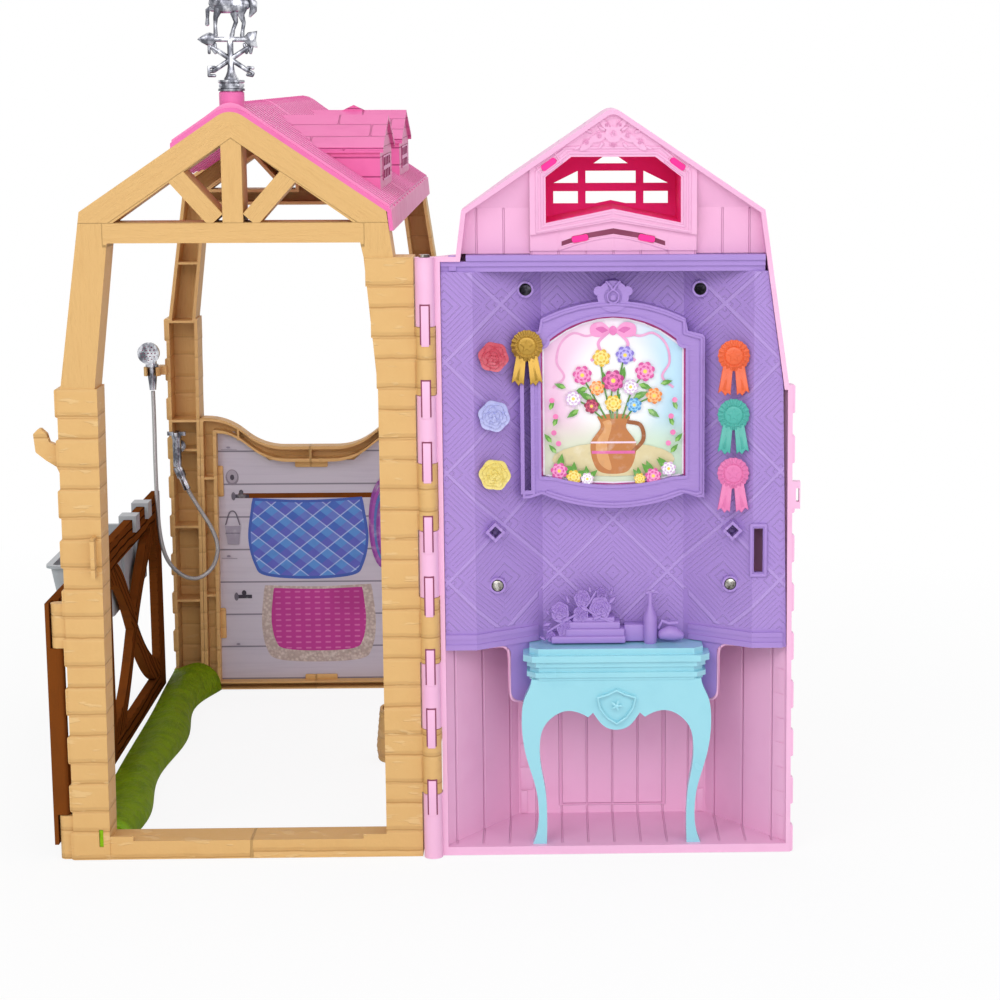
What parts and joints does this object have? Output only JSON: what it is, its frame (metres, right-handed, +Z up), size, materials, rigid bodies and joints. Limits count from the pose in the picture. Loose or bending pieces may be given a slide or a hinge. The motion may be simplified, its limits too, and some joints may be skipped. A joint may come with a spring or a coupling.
{
  "type": "toy barn with opening doors",
  "caption": "Folding toy stable: gabled timber-and-stone frames with a pink roof, and a hinged facade holding a purple wall, a table, plug-in prizes and a side gate.",
  "frame": {"origin": "middle of the underside of the front frame's sill, on the floor", "axes": "+X across the barn towards the folding facade, +Y into the barn, +Z up"},
  "size_m": [0.4589, 0.4055, 0.491],
  "materials": {
    "tan_plastic": "satin",
    "shell_pink": "satin",
    "roof_pink": "satin",
    "magenta_plastic": "glossy",
    "purple_plastic": "satin",
    "aqua_plastic": "glossy",
    "brown_plastic": "satin",
    "grass_plastic": "matt",
    "grey_plastic": "satin",
    "plated_plastic": "plated",
    "steel": "bright",
    "printed_card": "printed",
    "picture_print": "printed",
    "gold_plastic": "metallic",
    "orange_plastic": "satin",
    "teal_plastic": "satin",
    "ribbon_pink_plastic": "satin",
    "red_plastic": "satin",
    "lavender_plastic": "satin",
    "yellow_plastic": "satin",
    "lattice_pink": "satin",
    "hose_grey": "satin"
  },
  "bodies": {
    "barn": {"front_gable_frame": "tan_plastic", "rear_gable_frame": "tan_plastic", "rear_wall_frame": "tan_plastic", "rear_wall_card": "printed_card", "grass_base": "grass_plastic", "right_side_sill": "tan_plastic", "woven_basket": "tan_plastic", "roof_shell": "roof_pink", "dormer_front": "roof_pink", "dormer_window_front": "lattice_pink", "dormer_rear": "roof_pink", "dormer_window_rear": "lattice_pink", "vane_pedestal": "roof_pink", "vane_collar": "plated_plastic", "hinge_pin": "steel", "wash_tap": "plated_plastic", "hose_connector": "plated_plastic", "shower_hose": "hose_grey"},
    "facade": {"facade_shell": "shell_pink", "hayloft_window": "magenta_plastic", "wallpaper_panel": "purple_plastic", "cornice": "purple_plastic", "panel_screw_1": "steel", "panel_screw_2": "steel", "panel_screw_3": "steel", "panel_screw_4": "steel", "picture_frame": "purple_plastic", "picture_card": "picture_print", "shelf_relief": "purple_plastic", "vanity_table": "aqua_plastic"},
    "vane": {"weather_vane": "plated_plastic"},
    "gate": {"gate_leaf": "brown_plastic"},
    "trough": {"feed_trough": "grey_plastic"},
    "shower": {"shower_head": "plated_plastic"},
    "gold_slider": {"gold_ribbon": "gold_plastic", "ribbon_keeper": "gold_plastic"},
    "orange_prize": {"ribbon_orange": "orange_plastic"},
    "teal_prize": {"ribbon_teal": "teal_plastic"},
    "pink_prize": {"ribbon_pink": "ribbon_pink_plastic"},
    "red_knob": {"rose_red": "red_plastic"},
    "lavender_knob": {"rose_lavender": "lavender_plastic"},
    "yellow_knob": {"rose_yellow": "yellow_plastic"}
  },
  "joints": [
    {"name": "facade_hinge", "type": "hinge", "parent": "barn", "child": "facade", "pos_m": [0.1017, -0.011, 0.16], "axis": [0, 0, -1], "range_deg": [0, 180]},
    {"name": "gate_hinge", "type": "hinge", "parent": "barn", "child": "gate", "pos_m": [-0.1033, -0.0055, 0.073], "axis": [0, 0, 1], "range_deg": [0, 95]},
    {"name": "vane_spin", "type": "hinge", "parent": "barn", "child": "vane", "pos_m": [0, 0, 0.44], "axis": [0, 0, 1], "continuous": true},
    {"name": "trough_lift", "type": "slide", "parent": "gate", "child": "trough", "axis": [0, 0, 1], "range_m": [0, 0.025]},
    {"name": "shower_lift", "type": "slide", "parent": "barn", "child": "shower", "axis": [0, 0, 1], "range_m": [0, 0.014]},
    {"name": "gold_slide", "type": "slide", "parent": "facade", "child": "gold_slider", "axis": [0, 0, -1], "range_m": [0, 0.076]},
    {"name": "orange_pull", "type": "slide", "parent": "facade", "child": "orange_prize", "axis": [0, -1, 0], "range_m": [0, 0.012]},
    {"name": "teal_pull", "type": "slide", "parent": "facade", "child": "teal_prize", "axis": [0, -1, 0], "range_m": [0, 0.012]},
    {"name": "pink_pull", "type": "slide", "parent": "facade", "child": "pink_prize", "axis": [0, -1, 0], "range_m": [0, 0.012]},
    {"name": "red_pull", "type": "slide", "parent": "facade", "child": "red_knob", "axis": [0, -1, 0], "range_m": [0, 0.012]},
    {"name": "lavender_pull", "type": "slide", "parent": "facade", "child": "lavender_knob", "axis": [0, -1, 0], "range_m": [0, 0.012]},
    {"name": "yellow_pull", "type": "slide", "parent": "facade", "child": "yellow_knob", "axis": [0, -1, 0], "range_m": [0, 0.012]}
  ]
}
